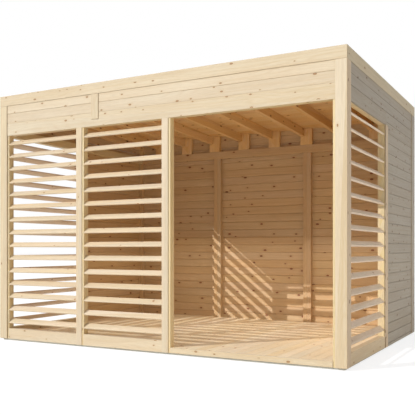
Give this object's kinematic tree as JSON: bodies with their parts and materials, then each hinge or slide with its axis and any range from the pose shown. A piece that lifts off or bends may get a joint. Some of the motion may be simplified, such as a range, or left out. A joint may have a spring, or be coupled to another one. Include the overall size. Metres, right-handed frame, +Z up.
{
  "type": "garden pavilion",
  "caption": "Flat-roofed timber garden pavilion: boarded back and rear side walls, slatted screens at the front corner and sides, a wide open doorway and a timber floor.",
  "frame": {"origin": "centre of the footprint, at ground level under the bearers", "axes": "+Z up, the doorway and the front screens look towards -Y, +X to the right seen from the front"},
  "size_m": [3.37, 2.36, 2.306],
  "materials": {
    "boards_across": "planed softwood, untreated",
    "boards_deep": "planed softwood, untreated",
    "uprights": "planed softwood, untreated",
    "slats_across": "planed softwood, untreated",
    "slats_deep": "planed softwood, untreated",
    "rails_across": "planed softwood, untreated",
    "rafters_deep": "planed softwood, untreated",
    "studs": "planed softwood, untreated",
    "floor": "planed softwood, untreated",
    "roof_boards": "planed softwood, untreated",
    "bearers": "pressure-treated, grey-green",
    "felt": "matt mineral finish"
  },
  "bodies": {
    "root": {"base_ends": "bearers", "base_sides": "bearers", "base_joists": "bearers", "floor_deck": "floor", "door_sill": "boards_across", "corner_posts": "uprights", "door_post": "uprights", "front_stile": "uprights", "side_stiles": "uprights", "front_rails": "boards_across", "side_rails": "boards_deep", "front_head_rail": "rails_across", "side_head_rails": "rafters_deep", "back_rail": "rails_across", "back_studs": "studs", "rear_corner_studs": "studs", "slats_front_left": "slats_across", "slats_front_right": "slats_across", "slats_left": "slats_deep", "slats_right": "slats_deep", "back_cladding": "boards_across", "side_cladding_rear": "boards_deep", "side_cladding_over_screen": "boards_deep", "lintel_board": "boards_across", "front_boards_left": "boards_across", "front_boards_right": "boards_across", "top_trim_ends": "boards_across", "top_trim_sides": "boards_deep", "corner_boards_face": "uprights", "corner_boards_side": "uprights", "cover_strip_front": "uprights", "cover_strips_side": "uprights", "cover_strips_back": "uprights", "rafters": "rafters_deep", "edge_rafters": "rafters_deep", "rafter_blocks": "studs", "rafter_cleats": "studs", "short_posts": "studs", "roof_boards": "roof_boards", "roof_felt": "felt"}
  },
  "joints": []
}
